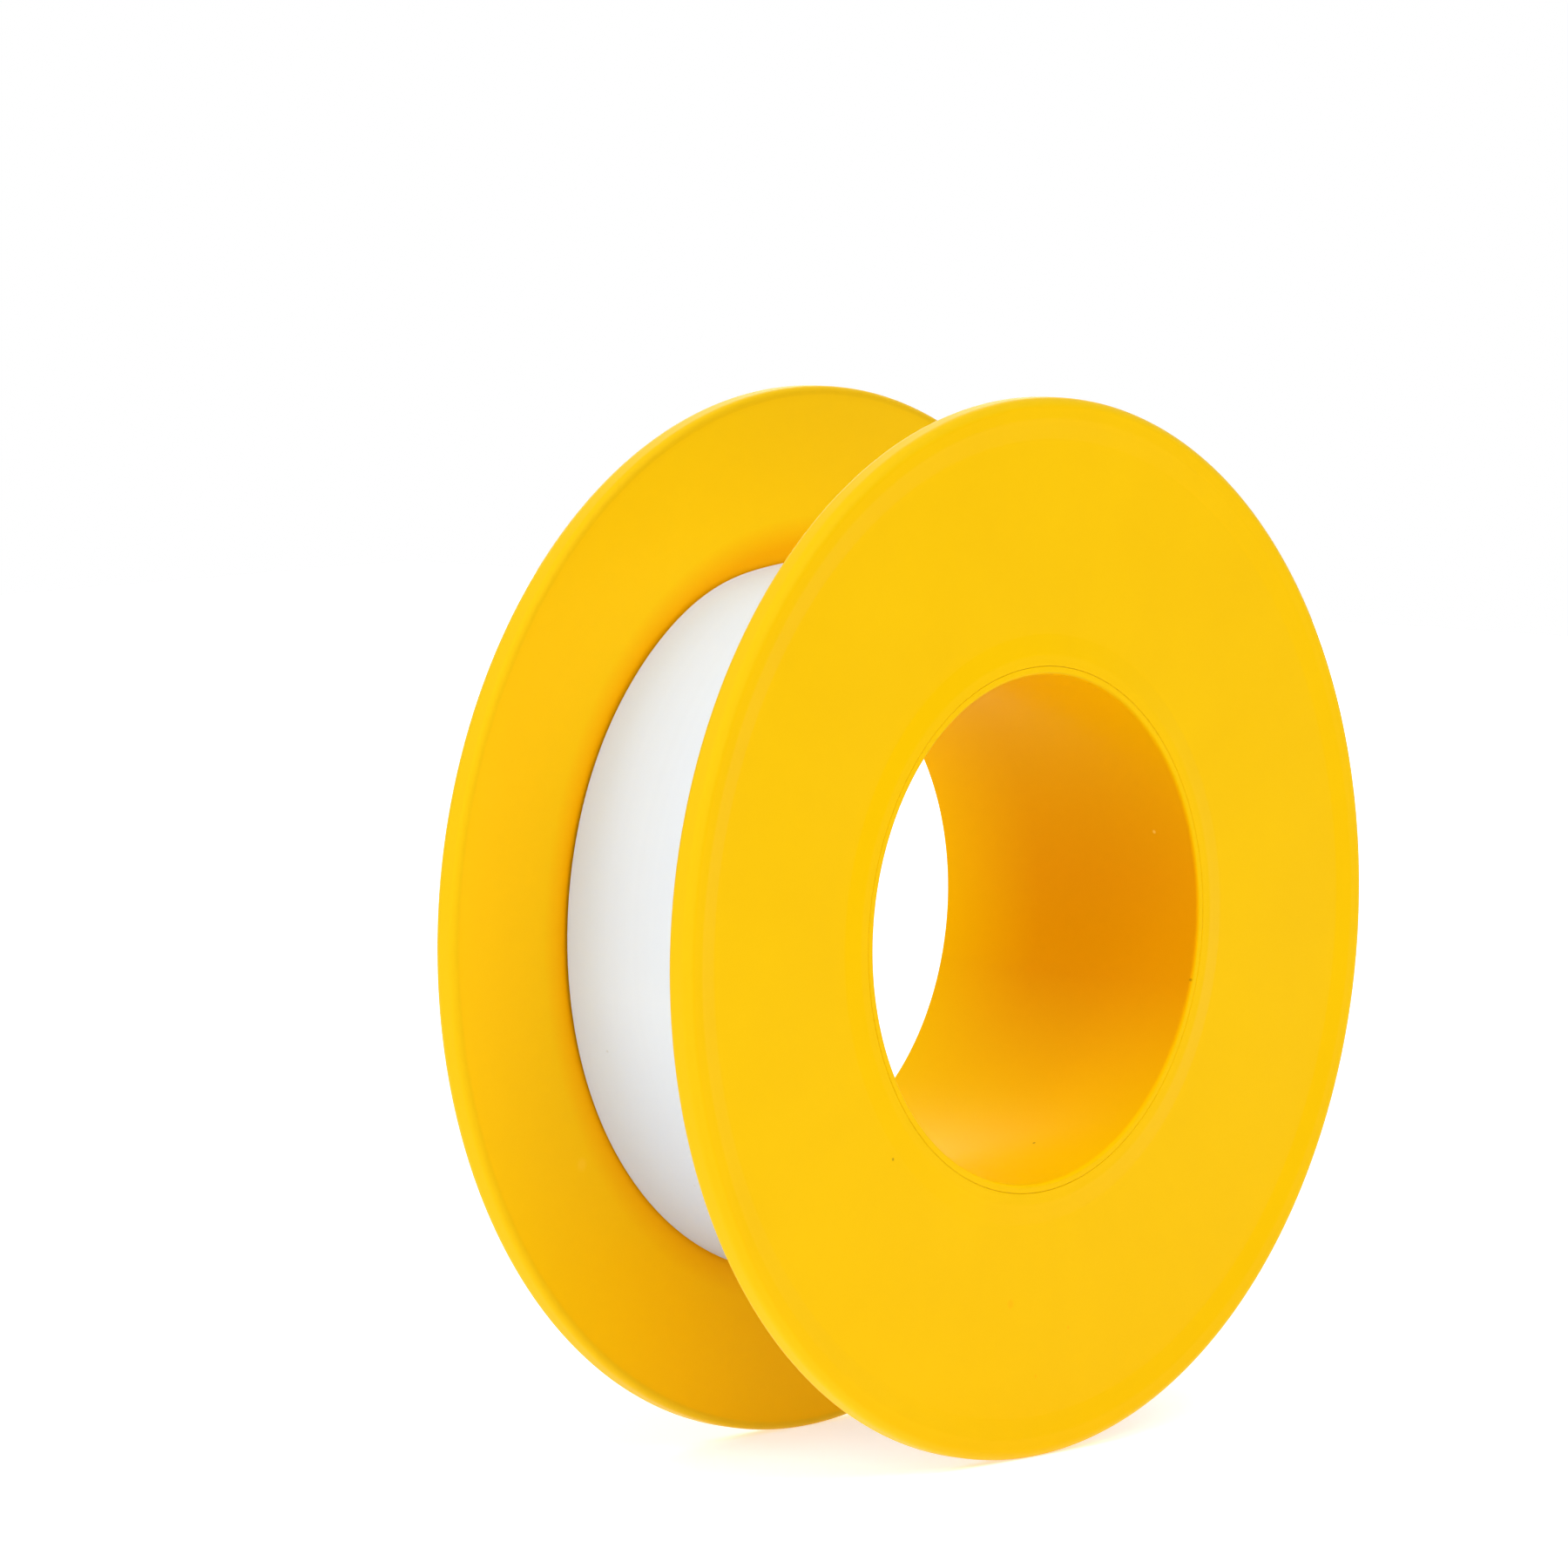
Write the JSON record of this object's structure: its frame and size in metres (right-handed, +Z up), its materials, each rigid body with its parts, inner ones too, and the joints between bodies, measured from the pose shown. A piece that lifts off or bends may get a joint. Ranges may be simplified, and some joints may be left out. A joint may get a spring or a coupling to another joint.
{
  "type": "thread seal tape roll",
  "caption": "Flanged plastic reel with an open bore, wound with a long flat strip of thread seal tape that turns on the hub as it is pulled off.",
  "frame": {"origin": "centre of the bore, midway between the outer faces of the flanges", "axes": "+Z up with the reel standing on its rims, the reel's axis along Y, the pressed-on front flange facing -Y, +X to the right as seen from the front"},
  "size_m": [0.05, 0.0156, 0.05],
  "materials": {
    "reel_plastic": "injection-moulded polypropylene, satin",
    "tape": "soft, waxy unsintered PTFE film"
  },
  "bodies": {
    "reel": {"rear_flange_hub": "reel_plastic", "front_flange": "reel_plastic"},
    "tape": {"tape_winding": "tape", "tape_outer_turn": "tape"}
  },
  "joints": [
    {"name": "tape_unwind", "type": "hinge", "parent": "reel", "child": "tape", "pos_m": [0, 0, 0], "axis": [0, 1, 0], "continuous": true}
  ]
}
